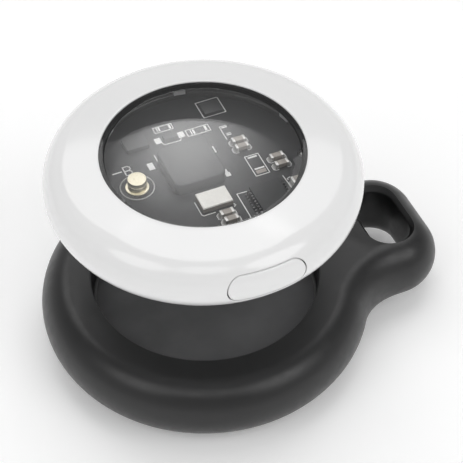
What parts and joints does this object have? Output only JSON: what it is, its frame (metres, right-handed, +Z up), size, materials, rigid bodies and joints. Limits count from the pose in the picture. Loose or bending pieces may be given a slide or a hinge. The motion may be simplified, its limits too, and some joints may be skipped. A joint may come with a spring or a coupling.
{
  "type": "bluetooth tracker tag",
  "caption": "Round glossy white tracker tag with a clear window over its circuit board, lifted above a soft dark ring holder with a key loop.",
  "frame": {"origin": "centre of the holder's flat base, on the axis of its round pocket", "axes": "+Z up along the pocket and tag axis, +X along the key loop, -Y the way the side button faces"},
  "size_m": [0.0463, 0.0372, 0.0273],
  "materials": {
    "holder_silicone": "satin moulded silicone, near black",
    "white_shell": "glossy white moulded plastic",
    "clear_window": "polished clear plastic window",
    "black_plastic": "glossy black moulded plastic",
    "board_mask": "dark grey solder mask",
    "chip_black": "moulded chip packages, dark grey",
    "cream_ceramic": "off-white fired ceramic",
    "capacitor_body": "beige-grey ceramic with tinned ends",
    "gold_plate": "pale gold plating",
    "steel": "plain steel",
    "cell_can": "brushed nickel-plated steel",
    "brass_sheet": "thin rolled brass",
    "copper_foil": "bright copper",
    "seal_rubber": "black rubber seal"
  },
  "bodies": {
    "holder": {"holder_body": "holder_silicone"},
    "tag": {"bezel_shell": "white_shell", "base_shell": "white_shell", "window_lens": "clear_window", "chassis_ring": "black_plastic", "battery_tray": "black_plastic", "board_screw_1": "steel", "board_screw_2": "steel", "board_screw_3": "steel", "coin_cell": "cell_can", "positive_contact": "gold_plate", "negative_contact": "gold_plate", "terminal_post": "gold_plate", "sounder_plate": "brass_sheet", "sounder_ceramic": "cream_ceramic", "antenna_ring": "copper_foil", "switch_body": "black_plastic", "circuit_board": "board_mask", "radio_chip": "chip_black", "memory_chip": "chip_black", "motion_sensor": "chip_black", "filter_chip": "chip_black", "inductor": "chip_black", "crystal": "cream_ceramic", "driver_chip": "chip_black", "capacitor_1": "capacitor_body", "capacitor_2": "capacitor_body", "capacitor_3": "capacitor_body", "capacitor_4": "capacitor_body", "capacitor_5": "capacitor_body", "capacitor_6": "capacitor_body"},
    "button": {"button_cap": "white_shell", "switch_plunger": "cream_ceramic"},
    "door": {"battery_door": "white_shell", "door_seal": "seal_rubber"}
  },
  "joints": [
    {"name": "tag_lift", "type": "slide", "parent": "holder", "child": "tag", "axis": [0, 0, 1], "range_m": [-0.0116, 0]},
    {"name": "button_press", "type": "slide", "parent": "tag", "child": "button", "axis": [0, 1, 0], "range_m": [0, 0.00035], "stiffness_N_per_m": 1200},
    {"name": "door_twist", "type": "hinge", "parent": "tag", "child": "door", "pos_m": [0, 0, 0.01767], "axis": [0, 0, 1], "range_deg": [0, 25]}
  ]
}
